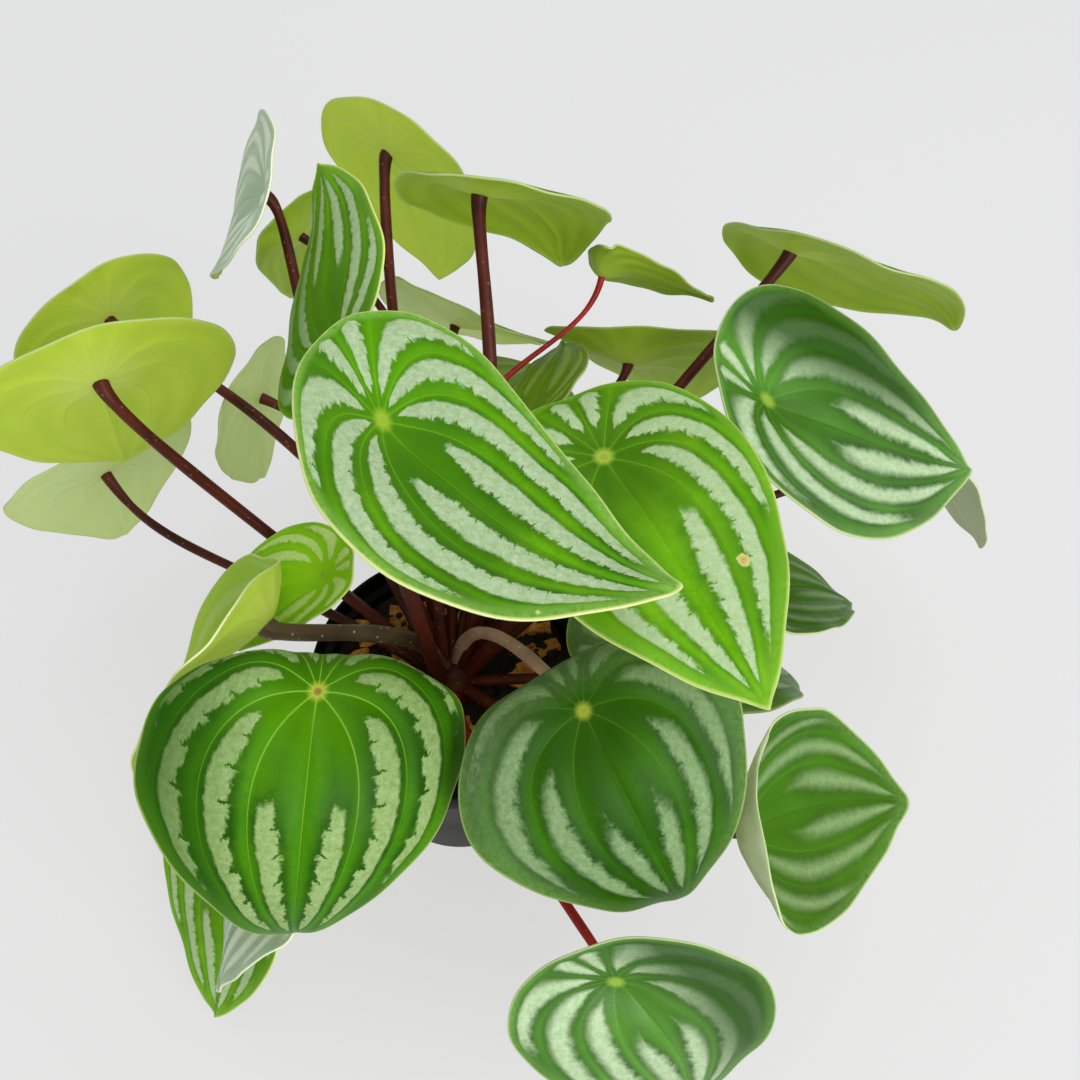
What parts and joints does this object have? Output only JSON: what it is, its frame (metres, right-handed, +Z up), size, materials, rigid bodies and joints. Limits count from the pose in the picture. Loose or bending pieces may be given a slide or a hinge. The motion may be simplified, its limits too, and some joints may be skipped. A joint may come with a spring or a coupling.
{
  "type": "potted peperomia",
  "caption": "House plant with broad shield-shaped striped leaves on long thin stalks, rising from a short crown in a round tapered nursery pot of potting mix.",
  "frame": {"origin": "middle of the pot's underside, on the surface that it stands on", "axes": "+Z up along the pot's axis, +Y away from the side that the picture was taken from, +X to the right in it"},
  "size_m": [0.3517, 0.3138, 0.2239],
  "materials": {
    "pot_plastic": "moulded black nursery-pot plastic, satin",
    "potting_mix": "loose dark peat with orange-brown bark chips, matt",
    "stalk": "smooth dark maroon leaf stalk, satin",
    "leaf_blade": "fleshy green leaf with silver bands above and lime green below, satin"
  },
  "bodies": {
    "root": {"pot": "pot_plastic", "potting_mix": "potting_mix", "crown_and_stalks": "stalk", "leaf_01": "leaf_blade", "leaf_02": "leaf_blade", "leaf_03": "leaf_blade", "leaf_04": "leaf_blade", "leaf_05": "leaf_blade", "leaf_06": "leaf_blade", "leaf_07": "leaf_blade", "leaf_08": "leaf_blade", "leaf_09": "leaf_blade", "leaf_10": "leaf_blade", "leaf_11": "leaf_blade", "leaf_12": "leaf_blade", "leaf_13": "leaf_blade", "leaf_14": "leaf_blade", "leaf_15": "leaf_blade", "leaf_16": "leaf_blade", "leaf_17": "leaf_blade", "leaf_18": "leaf_blade", "leaf_19": "leaf_blade", "leaf_20": "leaf_blade", "leaf_21": "leaf_blade", "leaf_22": "leaf_blade", "leaf_23": "leaf_blade", "leaf_24": "leaf_blade", "leaf_25": "leaf_blade", "leaf_26": "leaf_blade", "leaf_27": "leaf_blade", "leaf_28": "leaf_blade", "leaf_29": "leaf_blade"}
  },
  "joints": []
}
